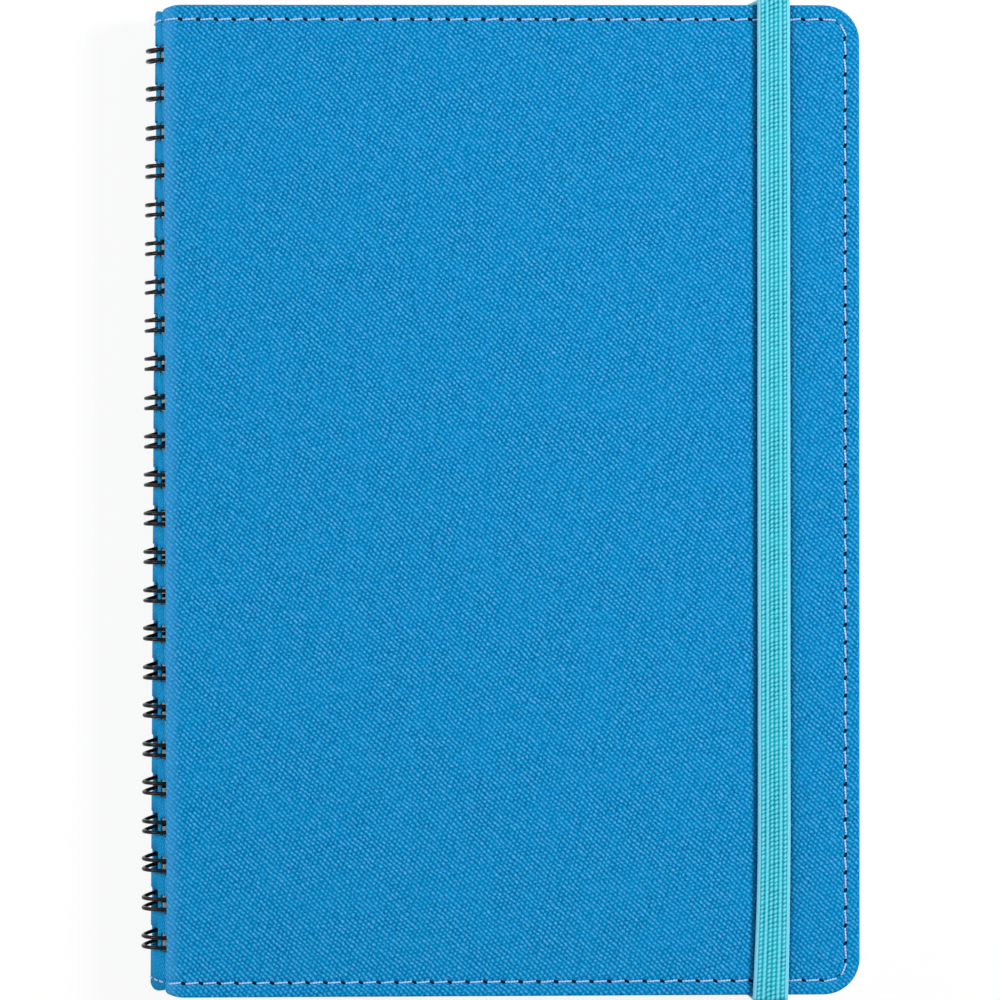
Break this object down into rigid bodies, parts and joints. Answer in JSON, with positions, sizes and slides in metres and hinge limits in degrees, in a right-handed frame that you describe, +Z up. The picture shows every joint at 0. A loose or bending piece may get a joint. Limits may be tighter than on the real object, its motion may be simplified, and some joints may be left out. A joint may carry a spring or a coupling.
{
  "type": "spiral notebook",
  "caption": "Cloth-covered twin-wire notebook with sewn cover edges, a wrap-round leaning spine, hinged covers and an elastic closing band.",
  "frame": {"origin": "centre of the footprint, on the surface that the notebook lies on", "axes": "+X from the spine to the fore edge, +Y to the head of the page, +Z up through the front cover"},
  "size_m": [0.158, 0.2204, 0.0163],
  "materials": {
    "cover_cloth": "bright blue denim-look twill",
    "cover_board": "grey board",
    "cover_lining": "plain matte lining paper",
    "thread": "pale twisted thread",
    "leaves": "matte writing paper",
    "binding_wire": "glossy black coated steel wire",
    "elastic": "turquoise braided elastic"
  },
  "bodies": {
    "page_block": {"page_block": "leaves", "binding_wire": "binding_wire", "spine_strip": "cover_cloth", "spine_stitching": "thread"},
    "front_cover": {"front_cloth": "cover_cloth", "front_board": "cover_board", "front_lining": "cover_lining", "front_stitching": "thread"},
    "back_cover": {"back_cloth": "cover_cloth", "back_board": "cover_board", "back_lining": "cover_lining", "back_stitching": "thread", "elastic_band": "elastic"}
  },
  "joints": [
    {"name": "front_cover_hinge", "type": "hinge", "parent": "page_block", "child": "front_cover", "pos_m": [-0.074, 0, 0.0142], "axis": [0, -1, 0], "range_deg": [0, 180], "deforming": ["elastic_band"]},
    {"name": "back_cover_hinge", "type": "hinge", "parent": "page_block", "child": "back_cover", "pos_m": [-0.0766, 0, 0.0009], "axis": [0, 1, 0], "range_deg": [0, 180], "deforming": ["elastic_band"]}
  ]
}
